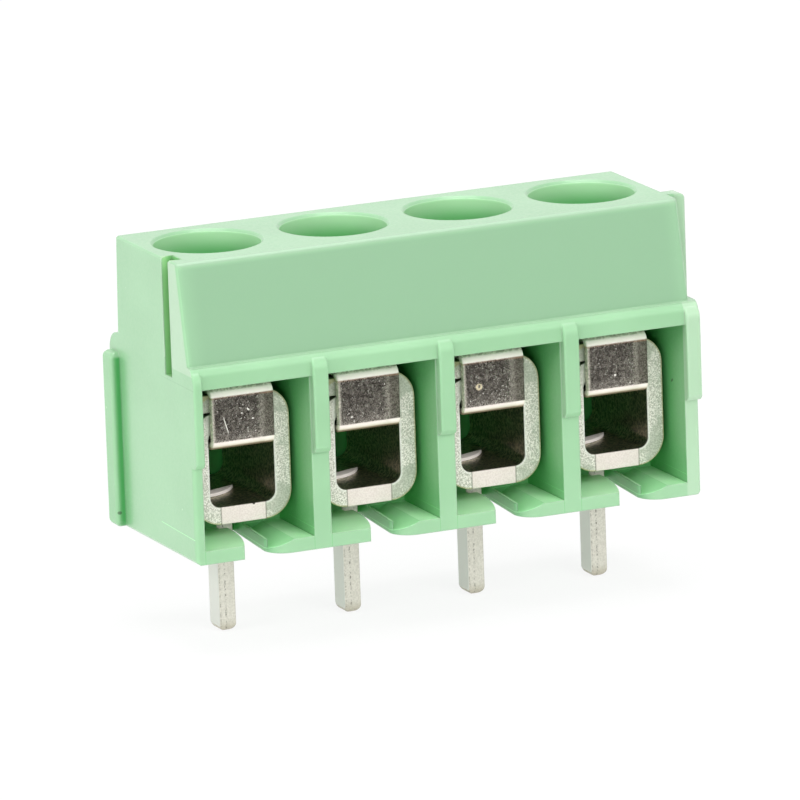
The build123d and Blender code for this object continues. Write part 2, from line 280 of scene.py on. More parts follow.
# Node helpers
class Finish:
    """A material under construction: short ways to add its nodes."""

    def __init__(self, name):
        self.material = bpy.data.materials.new(name)
        self.material.use_nodes = True
        self.tree = self.material.node_tree
        self.shader = self.tree.nodes["Principled BSDF"]
        coordinates = self.tree.nodes.new("ShaderNodeTexCoord")
        self.place = coordinates.outputs["Object"]
        split = self.tree.nodes.new("ShaderNodeSeparateXYZ")
        self.link(self.place, split.inputs[0])
        self.x, self.y, self.z = split.outputs

    def link(self, start, end):
        self.tree.links.new(start, end)

    def feed(self, socket, value):
        """Links another node's output to the socket, or sets a plain value on it."""
        if isinstance(value, bpy.types.NodeSocket):
            self.link(value, socket)
        else:
            socket.default_value = value

    def set(self, **sockets):
        for name, value in sockets.items():
            self.feed(self.shader.inputs[name.replace("_", " ")], value)

    def math(self, operation, *values):
        node = self.tree.nodes.new("ShaderNodeMath")
        node.operation = operation
        for socket, value in zip(node.inputs, values):
            self.feed(socket, value)
        return node.outputs[0]

    def chain(self, operation, values):
        """Takes any number of values through one operation, from the first to the last."""
        result = values[0]
        for value in values[1:]:
            result = self.math(operation, result, value)
        return result

    def plus(self, *values):
        return self.chain("ADD", values)

    def minus(self, value, less):
        return self.math("SUBTRACT", value, less)

    def times(self, *values):
        return self.chain("MULTIPLY", values)

    def most(self, *values):
        return self.chain("MAXIMUM", values)

    def square(self, value):
        return self.math("POWER", value, 2.0)

    def size_of(self, value):
        return self.math("ABSOLUTE", value)

    def distance(self, value, place):
        return self.size_of(self.minus(value, place))

    def above(self, value, limit):
        return self.math("GREATER_THAN", value, limit)

    def below(self, value, limit):
        return self.math("LESS_THAN", value, limit)

    def between(self, value, low, high):
        return self.times(self.above(value, low), self.below(value, high))

    def ramp(self, value, low, high, out_low=0.0, out_high=1.0):
        """Goes smoothly from one number to another while the value passes from low to high."""
        node = self.tree.nodes.new("ShaderNodeMapRange")
        node.interpolation_type = "SMOOTHSTEP"
        for socket, given in zip(node.inputs, (value, low, high, out_low, out_high)):
            self.feed(socket, given)
        return node.outputs[0]

    def fade(self, value, full, gone, share=1.0):
        """Falls smoothly from its share to nothing."""
        return self.ramp(value, full, gone, share, 0.0)

    def noise(self, scale, detail, roughness=0.55, stretch=(1, 1, 1)):
        mapping = self.tree.nodes.new("ShaderNodeMapping")
        mapping.inputs["Scale"].default_value = stretch
        self.link(self.place, mapping.inputs["Vector"])
        node = self.tree.nodes.new("ShaderNodeTexNoise")
        self.link(mapping.outputs[0], node.inputs["Vector"])
        node.inputs["Scale"].default_value = scale
        node.inputs["Detail"].default_value = detail
        node.inputs["Roughness"].default_value = roughness
        return node.outputs["Fac"]

    def mix(self, share, first, second):
        """Blends two colours, which are the sockets 6 and 7 of a Mix node."""
        node = self.tree.nodes.new("ShaderNodeMix")
        node.data_type = "RGBA"
        self.feed(node.inputs[0], share)
        self.feed(node.inputs[6], first)
        self.feed(node.inputs[7], second)
        return node.outputs[2]

    def over(self, ground, layers):
        """Lays shades over a ground, each given by the share it covers, its strength and its colour."""
        for share, strength, shade in layers:
            if strength != 1:
                share = self.times(share, strength)
            ground = self.mix(share, ground, shade)
        return ground

    def bump(self, height, strength, distance, normal=None):
        node = self.tree.nodes.new("ShaderNodeBump")
        node.inputs["Strength"].default_value = strength
        node.inputs["Distance"].default_value = distance
        self.link(height, node.inputs["Height"])
        if normal is not None:
            self.link(normal, node.inputs["Normal"])
        return node.outputs[0]

    def soft_edges(self, radius):
        node = self.tree.nodes.new("ShaderNodeBevel")
        node.samples = 8
        node.inputs["Radius"].default_value = radius
        return node.outputs[0]

    def edge_share(self, rounded):
        """How far a point lies on an edge: the rounded normal against the plain one."""
        plain = self.tree.nodes.new("ShaderNodeNewGeometry")
        dot = self.tree.nodes.new("ShaderNodeVectorMath")
        dot.operation = "DOT_PRODUCT"
        self.link(rounded, dot.inputs[0])
        self.link(plain.outputs["Normal"], dot.inputs[1])
        return self.fade(dot.outputs["Value"], 0.72, 0.98)


# Places that several finishes ask for
def pole_offset(f):
    """Distance along the row from the middle of the pole that a point belongs to."""
    whole = f.math("FRACT", f.math("DIVIDE", f.x, PITCH))
    return f.times(f.minus(whole, 0.5), PITCH)


def spot(f, place, size, turn=0.0, plane="xz"):
    """A small oval mark with a soft edge: its middle and half lengths in millimetres, its turn in degrees."""
    first, second = (f.x, f.z) if plane == "xz" else (f.y, f.z)
    first = f.minus(first, place[0] * MM)
    second = f.minus(second, place[1] * MM)
    cos, sin = math.cos(math.radians(turn)), math.sin(math.radians(turn))
    along = f.plus(f.times(first, cos), f.times(second, sin))
    across = f.minus(f.times(second, cos), f.times(first, sin))
    along = f.square(f.math("DIVIDE", along, size[0] * MM))
    across = f.square(f.math("DIVIDE", across, size[1] * MM))
    return f.fade(f.plus(along, across), 0.5, 1.2)


# Parts of the moulding, each as the share of a point that belongs to it
def within_cell(f, offset):
    """Everything between a cell's walls, from the foot of the housing to the ceiling."""
    across = f.below(f.size_of(offset), CELL_W / 2 + HAIR)
    return f.times(across, f.between(f.z, HAIR, CELL_TOP_Z + HAIR))


def cell_depth(f, offset):
    """How deep a point lies in an open cell: the walls count from the mouth, the floor from further in."""
    on_side = f.above(f.size_of(offset), CELL_W / 2 - HAIR)
    on_ceiling = f.above(f.z, CELL_TOP_Z - 2 * HAIR)
    wall = f.times(f.most(on_side, on_ceiling), f.ramp(f.y, FRONT_Y, FRONT_Y + 3.4 * MM, 0.45, 1.0))
    ground = f.ramp(f.y, FRONT_Y + 2.0 * MM, FRONT_Y + 4.0 * MM)
    return f.times(within_cell(f, offset), f.below(f.y, CELL_REAR_Y + HAIR), f.most(wall, ground))


def cell_floor(f, offset):
    """The upper face of the floor, where it can be seen in front of the clamp body."""
    across = f.below(f.size_of(offset), CELL_W / 2 - HAIR)
    up = f.between(f.z, FLOOR_T - HAIR, FLOOR_T + HAIR)
    return f.times(across, up, f.between(f.y, FRONT_Y + HAIR, FLOOR_SEEN_Y))


def lead_in(f, offset):
    """The slope from the cell's floor down to the pin slot."""
    length = SEAT_FRONT_Y - FRONT_Y
    inward = f.minus(f.y, FRONT_Y)
    foot_x = f.plus(SLOT_FRONT_X, f.times(inward, (SLOT_REAR_X - SLOT_FRONT_X) / length))
    width = f.minus(LEAD_FRONT_W, f.times(inward, (LEAD_FRONT_W - LEAD_REAR_W) / length))
    share = f.math("DIVIDE", f.minus(offset, foot_x), width)
    height = f.plus(FLOOR_T - LEAD_H, f.times(share, LEAD_H))
    on_slope = f.below(f.distance(f.z, height), 1.2 * HAIR)
    along = f.times(f.above(inward, HAIR), f.below(f.y, SEAT_FRONT_Y + 2 * HAIR))
    return f.times(on_slope, along, f.above(offset, 0.4 * MM))


def slot_side(f, offset):
    """The upright side of the pin slot, below the slope."""
    across = f.between(offset, 0.2 * MM, 1.3 * MM)
    up = f.between(f.z, HAIR, FLOOR_T - 2 * HAIR)
    from_mouth = f.ramp(f.y, FRONT_Y + 0.1 * MM, FRONT_Y + 0.6 * MM)
    return f.times(across, up, from_mouth, f.below(f.y, FLOOR_SEEN_Y))


def shelter(f, offset):
    """The inner faces of the cells, floor and slot, which mirror little of the studio."""
    return f.times(within_cell(f, offset), f.ramp(f.y, FRONT_Y + HAIR, FRONT_Y + 0.4 * MM))


def hole_wall(f, offset):
    """The wall of a screwdriver hole, below its rim."""
    squares = f.plus(f.square(offset), f.square(f.minus(f.y, SCREW_Y)))
    within = f.below(squares, (HOLE_R + HAIR) ** 2)
    return f.times(within, f.between(f.z, CELL_TOP_Z, BLOCK_HIGH.z - TOP_EDGE))


def rail_corner(f):
    """The rail's front flank and the corner it makes with the left end."""
    below_top = f.fade(f.z, RAIL_TOP_Z - 0.26 * MM, RAIL_TOP_Z - 0.12 * MM)
    flank = f.between(f.y, RAIL_Y - 2 * HAIR, RAIL_Y + 0.10 * MM)
    sunk = f.ramp(f.x, BLOCK_LOW.x + HAIR, LEFT_X - 0.10 * MM)
    corner_y = RAIL_Y - 0.9 * MM
    on_end = f.times(f.between(f.y, corner_y, RAIL_Y), f.below(f.x, LEFT_X + 2 * HAIR))
    corner = f.times(on_end, f.ramp(f.y, corner_y, RAIL_Y, 0.0, 0.38))
    return f.times(below_top, f.most(f.times(flank, sunk), corner))


def groove(f):
    across = f.below(f.distance(f.y, GROOVE_Y), GROOVE_ROOT_W / 2 + 3 * HAIR)
    up = f.above(f.z, GROOVE_FOOT_Z - HAIR)
    from_mouth = f.ramp(f.x, LEFT_X + HAIR, LEFT_X + 0.12 * MM)
    return f.times(across, up, from_mouth, f.below(f.x, LEFT_X + GROOVE_DEPTH + 5 * HAIR))


def leaning_front(f):
    """The leaning front of the upper block, weaker towards its side edges and its top."""
    surface = f.plus(UPPER_FOOT_Y, f.times(f.minus(f.z, STEP_Z), LEAN))
    near = f.below(f.minus(f.y, surface), 4 * HAIR)
    from_left = f.ramp(f.x, LEFT_X, LEFT_X + 0.9 * MM, 0.55, 1.0)
    from_right = f.ramp(f.x, RIGHT_X - 1.0 * MM, RIGHT_X, 1.0, 0.4)
    from_top = f.ramp(f.z, BLOCK_HIGH.z - 0.30 * MM, BLOCK_HIGH.z - TOP_EDGE, 1.0, 0.3)
    return f.times(near, f.above(f.z, STEP_Z + 2 * HAIR), from_top, from_left, from_right)


def brow(f):
    """The upper block's front edge, where the leaning front meets the top."""
    high = f.ramp(f.z, BLOCK_HIGH.z - 0.20 * MM, BLOCK_HIGH.z - TOP_EDGE)
    return f.times(high, f.below(f.y, UPPER_TOP_Y + 0.14 * MM))


def thin_parts(f):
    """The last rib, the tongue and the lip beside the groove, which let light through and are given painted
    light for it.
    """
    rib = f.times(f.above(f.x, RIGHT_X - RIB_W + 2 * HAIR), f.below(f.y, FRONT_Y + 2 * HAIR))
    rib = f.times(rib, f.below(f.z, STEP_Z))
    tongue = f.above(f.x, RIGHT_X + HAIR)
    lip = f.times(f.below(f.x, LEFT_X + HAIR), f.below(f.y, GROOVE_Y), f.above(f.z, STEP_Z - 0.3 * MM))
    return f.most(rib, tongue, lip)


def parting_line(f):
    """The faint line that the mould leaves across the left end."""
    line = f.fade(f.distance(f.z, CELL_TOP_Z + 0.05 * MM), 0.0, 0.03 * MM, 0.35)
    return f.times(line, f.below(f.x, LEFT_X + HAIR), f.fade(f.y, -1.6 * MM, -0.6 * MM))


def dark_specks(f):
    """One speck on the rail and one on the last cell's right wall."""
    on_rail = f.times(f.below(f.x, LEFT_X), f.above(f.y, RAIL_Y - 2 * HAIR))
    wall_x = POLE_X[-1] + CELL_W / 2
    on_wall = f.between(f.x, wall_x - 2 * HAIR, wall_x + 2 * HAIR)
    rail_speck = f.times(spot(f, (-10.42, 0.63), (0.09, 0.07)), on_rail)
    wall_speck = f.times(spot(f, (-2.72, 4.23), (0.12, 0.05), -35, "yz"), on_wall)
    return f.most(rail_speck, wall_speck)


# Finish of the housing
def hollow_painted_light_and_shade(f, offset):
    """Painted light and shade in the hollows, standing in for light that has gone through the plastic: cells,
    holes, the rail corner and the groove root are painted a deeper green than the faces outside; floors,
    slopes, hole rims and the groove mouth are painted lighter.
    """
    deep = cell_depth(f, offset)
    streaks = f.ramp(f.noise(1500, 1.0, 0.5, (1.0, 1.0, 0.05)), 0.60, 0.72)
    on_rear = f.above(f.y, CELL_REAR_Y - 2 * HAIR)
    hole_height = f.ramp(f.z, BLOCK_HIGH.z - 1.1 * MM, BLOCK_HIGH.z - 0.1 * MM)
    groove_depth = f.ramp(f.x, LEFT_X, LEFT_X + 0.46 * MM)
    return (
        # painted light on the cell floor in front of the clamp body
        (cell_floor(f, offset), 1, FLOOR_PAINTED_LIGHT),
        # painted shade on the upright side of the pin slot
        (slot_side(f, offset), 0.8, SLOT_PAINTED_SHADE),
        # painted light on the slope down to the pin slot
        (lead_in(f, offset), 1, LEAD_PAINTED_LIGHT),
        # painted shade, deeper green further into the cells
        (deep, 1, CELL_PAINTED_SHADE),
        (f.times(deep, on_rear, streaks), 0.5, STREAK_GREEN),
        # painted shade deep in the screwdriver holes, painted light towards their rims
        (hole_wall(f, offset), 1, f.mix(hole_height, HOLE_PAINTED_SHADE, HOLE_RIM_PAINTED_LIGHT)),
        # painted shade in the rail's front flank and its corner with the left end
        (rail_corner(f), 1, RAIL_CORNER_PAINTED_SHADE),
        # painted light at the groove's mouth, painted shade towards its root
        (groove(f), 1, f.mix(groove_depth, GROOVE_MOUTH_PAINTED_LIGHT, GROOVE_ROOT_PAINTED_SHADE)),
    )


def outer_painted_shade_and_marks(f):
    """Painted shade on the leaning front and its brow, painted light on the thin parts, and moulding marks on
    the outside.
    """
    return (
        # painted shade on the leaning front
        (leaning_front(f), 1, FRONT_PAINTED_SHADE),
        # painted shade on the brow where the leaning front meets the top
        (brow(f), 0.8, BROW_PAINTED_SHADE),
        # painted light on the thin parts, for the light that comes through them
        (thin_parts(f), 0.45, THIN_PAINTED_LIGHT),
        (parting_line(f), 1, PARTING_GREEN),
        (dark_specks(f), 0.7, DARK_SPECK),
    )


def edge_painted_highlights(f, rounded, sheltered):
    """Painted highlights along the edges, strongest round the left end of the upper block."""
    on_edge = f.edge_share(rounded)
    upper_end = f.times(f.below(f.x, LEFT_X + 0.2 * MM), f.above(f.z, STEP_Z), f.above(f.y, GROOVE_Y))
    return (
        # painted highlights on the edges, kept out of the hollows
        (f.times(on_edge, f.minus(1.0, sheltered)), 0.4, EDGE_PAINTED_HIGHLIGHT),
        (f.times(on_edge, upper_end), 0.6, END_EDGE_PAINTED_HIGHLIGHT),
    )


def green_plastic():
    f = Finish("green_plastic")
    offset = pole_offset(f)
    cloud = f.noise(260, 2.0)
    grain = f.noise(9000, 2.0, 0.6)
    specks = f.ramp(f.noise(3400, 3.0, 0.7), 0.735, 0.765)
    rounded = f.soft_edges(0.10 * MM)
    sheltered = shelter(f, offset)
    base = f.mix(f.ramp(cloud, 0.35, 0.65), GREEN, GREEN_PALE)
    base = f.over(base, [(specks, 0.5, GREEN_SPECK)])
    base = f.over(base, hollow_painted_light_and_shade(f, offset))
    base = f.over(base, outer_painted_shade_and_marks(f))
    base = f.over(base, edge_painted_highlights(f, rounded, sheltered))
    f.set(Base_Color=base, Roughness=f.ramp(grain, 0.3, 0.7, 0.36, 0.46), IOR=1.5)
    f.set(Coat_Weight=f.minus(0.6, f.times(sheltered, 0.5)), Coat_Roughness=0.18)
    f.set(Subsurface_Weight=0.18, Subsurface_Radius=(0.7, 1.0, 0.7), Subsurface_Scale=0.6 * MM)
    swell = f.bump(f.noise(420, 1.0), 0.10, 0.05 * MM, rounded)
    f.set(Normal=f.bump(grain, 0.05, 0.004 * MM, swell))
    return f.material


# Finish of the clamp bodies
def outline_depth(f, beside):
    """Depth below the outer contour of the clamp body's front, worked out as for a rounded box."""
    half_w = CAGE_W / 2
    half_h = (CAGE_HIGH.z - CAGE_FLOOR_Z) / 2
    up = f.distance(f.z, (CAGE_HIGH.z + CAGE_FLOOR_Z) / 2)
    past_x = f.most(f.minus(beside, half_w - CAGE_BEND_R), 0.0)
    past_z = f.most(f.minus(up, half_h - CAGE_BEND_R), 0.0)
    reach = f.math("SQRT", f.plus(f.square(past_x), f.square(past_z)))
    outside = f.most(f.minus(beside, half_w), f.minus(up, half_h))
    return f.math("MINIMUM", f.minus(CAGE_BEND_R, reach), f.times(outside, -1.0))


def sheared_edge(f, offset, front, grain):
    """The strip's sheared edge towards the viewer: grainy, dull in patches that gather towards its top and
    its lower bends, with pits and burrs, and a painted highlight along its inner rim.
    """
    high = f.ramp(f.z, CAGE_HIGH.z - 1.4 * MM, CAGE_HIGH.z - 0.8 * MM)
    low = f.fade(f.z, CAGE_FLOOR_Z + 0.9 * MM, CAGE_FLOOR_Z + 1.5 * MM)
    dull_towards_top_and_bends = f.most(high, f.times(low, f.above(offset, FLAT_HALF_W), 0.8))
    dull = f.ramp(f.plus(f.noise(1500, 2.0, 0.5), f.times(dull_towards_top_and_bends, 0.22)), 0.56, 0.74)
    pits = f.ramp(f.noise(11000, 2.0, 0.6), 0.67, 0.72)
    depth = outline_depth(f, f.size_of(offset))
    contour = f.times(front, f.fade(depth, 0.02 * MM, 0.08 * MM))
    inner_rim_highlight = f.times(front, f.ramp(depth, STRIP_T - 0.10 * MM, STRIP_T - 0.03 * MM))
    layers = (
        (dull, 0.6, SHEAR_DULL),
        (pits, 0.5, SHEAR_PIT),
        (contour, 0.55, SHEAR_YELLOW),
        # painted highlight along the inner rim of the sheared face
        (inner_rim_highlight, 0.6, SHEAR_RIM_HIGHLIGHT),
    )
    return f.over(f.mix(f.ramp(grain, 0.40, 0.60), SHEAR_GREY, SHEAR_WHITE), layers)


def strip_faces(f, offset, grain):
    """The strip's flat faces, with painted shade and stains where they line the hollow for the wire."""
    hollow = f.below(f.size_of(offset), CAGE_W / 2 - STRIP_T + 2 * HAIR)
    hollow = f.times(hollow, f.above(f.z, FLOOR_TOP_Z - 2 * HAIR))
    # painted shade, speckled with brown stains, over the faces that line the hollow
    shade_and_stain = f.mix(f.ramp(f.noise(9000, 3.0, 0.7), 0.40, 0.62), SHADE_AND_STAIN_DARK, SHADE_AND_STAIN_PALE)
    return f.over(f.mix(f.ramp(grain, 0.3, 0.7), TIN_DARK, TIN_PALE), [(hollow, 0.8, shade_and_stain)])


def pin_plating(f, offset, pin, grain):
    """The solder pin: burrs down its front, a dull tip and a plainer left flank."""
    middle_line = f.fade(f.distance(offset, -0.06 * MM), 0.0, 0.05 * MM)
    edge_line = f.fade(f.distance(offset, -0.27 * MM), 0.0, 0.05 * MM, 0.6)
    broken = f.ramp(f.noise(7000, 3.0, 0.7, (2.0, 1.0, 1.2)), 0.50, 0.58)
    burrs = f.times(pin, f.most(middle_line, edge_line), broken)
    layers = (
        (f.fade(f.z, PIN_TIP_Z + 0.10 * MM, PIN_TIP_Z + 0.55 * MM), 0.45, PIN_TIP),
        (burrs, 0.8, PIN_BURR),
        (f.below(offset, 2 * HAIR - PIN_W / 2), 1, PIN_FLANK),
    )
    return f.over(f.mix(f.ramp(grain, 0.35, 0.65), PIN_DARK, PIN_PALE), layers)


def floor_lip(f, offset):
    """The raised lip on the clamp body's floor, behind its front edge."""
    up = f.between(f.z, FLOOR_TOP_Z + HAIR, FLOOR_TOP_Z + LIP_H + 2 * HAIR)
    return f.times(up, f.between(f.y, -1.1 * MM, 0.4 * MM), f.below(offset, 0.74 * MM))


def tinned_strip():
    f = Finish("tinned_strip")
    offset = pole_offset(f)
    beside = f.size_of(offset)
    grain = f.noise(17000, 3.0, 0.65)
    front = f.fade(f.y, CAGE_FRONT_Y + 0.03 * MM, CAGE_FRONT_Y + 0.09 * MM)
    floor_front = f.times(front, f.fade(f.z, FLOOR_TOP_Z + 0.05 * MM, FLOOR_TOP_Z + 0.15 * MM))
    floor_edge = f.times(floor_front, f.fade(beside, FLAT_HALF_W - 2 * HAIR, FLAT_HALF_W + 2 * HAIR))
    crease = f.times(floor_front, f.fade(f.distance(beside, FLAT_HALF_W), 0.0, 0.045 * MM))
    warm = f.mix(f.ramp(grain, 0.3, 0.7), WARM_DARK, WARM_PALE)
    pin = f.fade(f.z, CAGE_FLOOR_Z - 0.10 * MM, CAGE_FLOOR_Z - 0.02 * MM)
    lip = floor_lip(f, offset)
    notch = f.times(front, spot(f, (-7.197, 1.70), (0.06, 0.06)))
    layers = (
        (front, 1, sheared_edge(f, offset, front, grain)),
        (floor_edge, 0.92, warm),
        (crease, 0.6, CREASE_DARK),
        (pin, 1, pin_plating(f, offset, pin, grain)),
        (lip, 1, LIP_CREAM),
        (notch, 1, NOTCH_DARK),
    )
    matte = f.most(front, pin, lip)
    dull = f.plus(f.times(matte, 0.55), f.times(lip, 0.4))
    f.set(Base_Color=f.over(strip_faces(f, offset, grain), layers), Metallic=f.minus(0.95, dull))
    f.set(Roughness=f.plus(f.times(matte, 0.16), f.ramp(grain, 0.3, 0.7, 0.30, 0.40)))
    f.set(Normal=f.bump(grain, 0.35, 0.008 * MM, f.soft_edges(0.06 * MM)))
    return f.material


# Finish of the wire guards
# Scratch and bright dots on the leaves: middle and half lengths in millimetres, turn in degrees
LEAF_MARKS = (
    ((-8.315, 4.84), (0.39, 0.022), -74),
    ((-7.41, 5.35), (0.08, 0.035), -45),
    ((-7.23, 4.98), (0.04, 0.04), 0),
    ((-7.66, 5.23), (0.035, 0.035), 0),
    ((-3.26, 4.50), (0.05, 0.035), 30),
    ((7.50, 4.71), (0.06, 0.05), 20),
)


def leaf_marks(f):
    """Fine sparkle, with the scratch and the dots over it."""
    sparkle = f.times(f.ramp(f.noise(15000, 2.0, 0.7), 0.64, 0.67), 0.8)
    return f.most(sparkle, *(f.times(spot(f, *mark), 0.9) for mark in LEAF_MARKS))


def cream_ring(f):
    """A round mark on the third leaf, darker in its middle."""
    middle = f.times(spot(f, (1.93, 4.99), (0.05, 0.08)), 0.8)
    return f.times(f.minus(spot(f, (1.92, 4.97), (0.15, 0.14)), middle), 0.8)


def plated_leaf():
    f = Finish("plated_leaf")
    offset = pole_offset(f)
    grain = f.noise(24000, 2.0, 0.65)
    peel = f.noise(7000, 2.0, 0.5)
    at_front = f.fade(f.y, LEAF_LOW.y + 0.28 * MM, LEAF_LOW.y + 0.40 * MM)
    under_top = f.minus(LEAF_HIGH.z, f.z)
    over_foot = f.minus(f.z, LEAF_LOW.z)
    top_bend = f.times(at_front, f.fade(under_top, 0.30 * MM, 0.36 * MM))
    foot_bend = f.times(at_front, f.fade(over_foot, 0.28 * MM, 0.34 * MM))
    bends = f.most(top_bend, foot_bend)
    marks = leaf_marks(f)
    cream = cream_ring(f)
    rim = f.fade(offset, 0.04 * MM - LEAF_HALF_W, 0.16 * MM - LEAF_HALF_W)
    right_rim_shade = f.times(at_front, f.ramp(offset, LEAF_HALF_W - 0.70 * MM, LEAF_HALF_W - 0.30 * MM))
    glint = f.times(at_front, f.fade(f.distance(under_top, 0.22 * MM), 0.07 * MM, 0.14 * MM))
    speckles = f.times(f.ramp(f.noise(9000, 2.0, 0.6), 0.42, 0.56), f.fade(under_top, 0.06 * MM, 0.17 * MM))
    under_bend = f.times(at_front, f.fade(f.distance(under_top, 0.37 * MM), 0.0, 0.06 * MM))
    layers = (
        (marks, 1, LEAF_MARK),
        (cream, 1, LEAF_CREAM),
        # painted shade towards the right edge of the leaf's front
        (right_rim_shade, 1, f.mix(f.ramp(grain, 0.42, 0.58), LEAF_SHADE_DARK, LEAF_SHADE_DUSK)),
        # painted highlight along the left rim
        (rim, 0.7, LEAF_RIM_HIGHLIGHT),
        # painted highlights on the top and foot bends, with a painted glint on the top bend
        (bends, 1, BEND_HIGHLIGHT_CREAM),
        (glint, 1, BEND_GLINT),
        (f.times(top_bend, speckles), 0.65, BEND_SPECKLE),
        # brown line under the painted highlight of the top bend
        (under_bend, 0.5, BEND_BROWN),
        # the foot bend's painted highlight turns tan and then a painted dark brown edge at the bottom
        (f.times(at_front, f.fade(over_foot, 0.10 * MM, 0.24 * MM, 0.6)), 1, FOOT_TAN),
        (f.times(at_front, f.fade(over_foot, 0.07 * MM, 0.16 * MM)), 0.8, FOOT_BROWN),
    )
    base = f.over(f.mix(f.ramp(grain, 0.38, 0.60), LEAF_GREY, LEAF_PALE), layers)
    dull = f.most(f.times(bends, 0.65), f.times(f.most(marks, cream), 0.8), glint)
    dull = f.most(dull, f.times(rim, 0.6), f.times(right_rim_shade, 0.9))
    f.set(Base_Color=base, Metallic=f.minus(1.0, dull))
    f.set(Roughness=f.plus(f.ramp(peel, 0.35, 0.65, 0.20, 0.30), f.times(bends, 0.2)))
    f.set(Normal=f.bump(grain, 0.6, 0.008 * MM, f.bump(peel, 0.25, 0.010 * MM)))
    return f.material


# Finish of the screws
def zinc_screw():
    f = Finish("zinc_screw")
    wear = f.noise(2600, 4.0, 0.6)
    base = f.mix(f.ramp(wear, 0.35, 0.7), ZINC_DARK, ZINC_PALE)
    f.set(Base_Color=base, Metallic=1.0, Roughness=f.ramp(wear, 0.3, 0.7, 0.24, 0.40))
    f.set(Normal=f.bump(wear, 0.12, 0.010 * MM, f.soft_edges(0.05 * MM)))
    return f.material


# Wire guard
def quarter_bend(y, z):
    bpy.ops.mesh.spin(steps=BEND_STEPS, angle=math.pi / 2, center=(0, y, z), axis=(-1, 0, 0))


def wire_leaf():
    """One leaf: a flat hook, bent down to the front and back to the arm, then given its thickness."""
    half = LEAF_T / 2
    top_z = LEAF_HIGH.z - half
    arm_z = LEAF_LOW.z + half
    hook_end_y = SCREW_Y - SCREW_R - HOOK_GAP
    top_bend_y = LEAF_LOW.y + LEAF_TOP_R
    top_bend_z = top_z - (LEAF_TOP_R - half)
    foot_bend_y = LEAF_LOW.y + LEAF_FOOT_R
    foot_bend_z = arm_z + (LEAF_FOOT_R - half)
    middle = ((LEAF_HIGH.x + LEAF_LOW.x) / 2, (hook_end_y + top_bend_y) / 2, top_z)
    bpy.ops.mesh.primitive_plane_add(size=1, location=middle)
    leaf = bpy.context.object
    leaf.name = "wire_leaf_1"
    leaf.scale = (2 * LEAF_HALF_W, hook_end_y - top_bend_y, 1)
    settle(leaf)
    edit_piece(leaf)
    pick_edges(leaf, lambda middle: abs(middle.y - top_bend_y) < 1e-6)
    quarter_bend(top_bend_y, top_bend_z)
    for step in range(FRONT_STEPS):
        extrude((0, 0, (foot_bend_z - top_bend_z) / FRONT_STEPS))
    quarter_bend(foot_bend_y, foot_bend_z)
    for step in range(ARM_STEPS):
        extrude((0, (LEAF_HIGH.y - foot_bend_y) / ARM_STEPS, 0))
    bpy.ops.mesh.select_all(action="SELECT")
    bpy.ops.mesh.remove_doubles(threshold=1e-7)
    bpy.ops.mesh.normals_make_consistent(inside=False)
    deselect_all()
    thick = leaf.modifiers.new("thick", "SOLIDIFY")
    thick.thickness = LEAF_T
    thick.offset = 0
    round_corners(leaf, "round_edges", LEAF_EDGE, 50)
    apply_all(leaf)
    bpy.ops.object.shade_smooth_by_angle(angle=math.radians(35))
    return leaf


# Clamp screw
def thread_radius(angle, height):
    turn = (height / THREAD_PITCH - angle / (2 * math.pi)) % 1.0
    flank = min(1.0, max(0.0, abs(turn - 0.5) * FLANK_SLOPE - CREST_SHARE))
    return SCREW_R - THREAD_DEPTH * flank


def cut_thread(screw, middle, neck_z):
    """Moves the shank's points in to the thread and to the chamfered tip."""
    for vertex in screw.data.vertices:
        if vertex.co.z < neck_z - 0.05 * MM:
            arm = vertex.co - middle
            height = vertex.co.z - SCREW_LOW.z
            radius = thread_radius(math.atan2(arm.y, arm.x), height)
            radius = min(radius, SCREW_R - TIP_CHAMFER + height)
            scale = radius / math.hypot(arm.x, arm.y)
            vertex.co.x = middle.x + arm.x * scale
            vertex.co.y = middle.y + arm.y * scale


def cut_slot(screw, middle, length, width):
    """Cuts one groove of the driver slot into the head."""
    bpy.ops.mesh.primitive_cube_add(size=1, location=(middle.x, middle.y, SCREW_HIGH.z))
    cutter = bpy.context.object
    cutter.scale = (length, width, 2 * DRIVER_SLOT_DEPTH)
    settle(cutter)
    slot = screw.modifiers.new("slot", "BOOLEAN")
    slot.operation = "DIFFERENCE"
    slot.object = cutter
    apply_all(screw)
    bpy.data.objects.remove(cutter)


def clamp_screw():
    """One closed mesh from the tip up to the head, then threaded and slotted."""
    middle = Vector(((SCREW_LOW.x + SCREW_HIGH.x) / 2, SCREW_Y, 0))
    neck_z = SCREW_HIGH.z - HEAD_H
    head_r = (SCREW_HIGH.x - SCREW_LOW.x) / 2
    bpy.ops.mesh.primitive_circle_add(
        vertices=SCREW_SIDES, radius=SCREW_R, fill_type="NGON", location=(middle.x, middle.y, SCREW_LOW.z)
    )
    screw = bpy.context.object
    screw.name = "wound_screw_1"
    settle(screw)
    edit_piece(screw)
    bpy.ops.mesh.select_all(action="SELECT")
    for row in range(SCREW_ROWS):
        extrude((0, 0, (neck_z - SCREW_LOW.z) / SCREW_ROWS))
    bpy.ops.mesh.extrude_region_move()
    bpy.ops.transform.resize(value=(head_r / SCREW_R, head_r / SCREW_R, 1))
    extrude((0, 0, HEAD_H))
    bpy.ops.mesh.select_all(action="SELECT")
    bpy.ops.mesh.normals_make_consistent(inside=False)
    deselect_all()
    cut_thread(screw, middle, neck_z)
    round_corners(screw, "head_edge", HEAD_CHAMFER, 75)
    apply_all(screw)
    past_head = 2.2 * head_r
    cut_slot(screw, middle, past_head, DRIVER_SLOT_W)
    cut_slot(screw, middle, DRIVER_SLOT_W, DRIVER_CROSS_LEN)
    choose(screw)
    bpy.ops.object.shade_smooth_by_angle(angle=math.radians(30))
    return screw


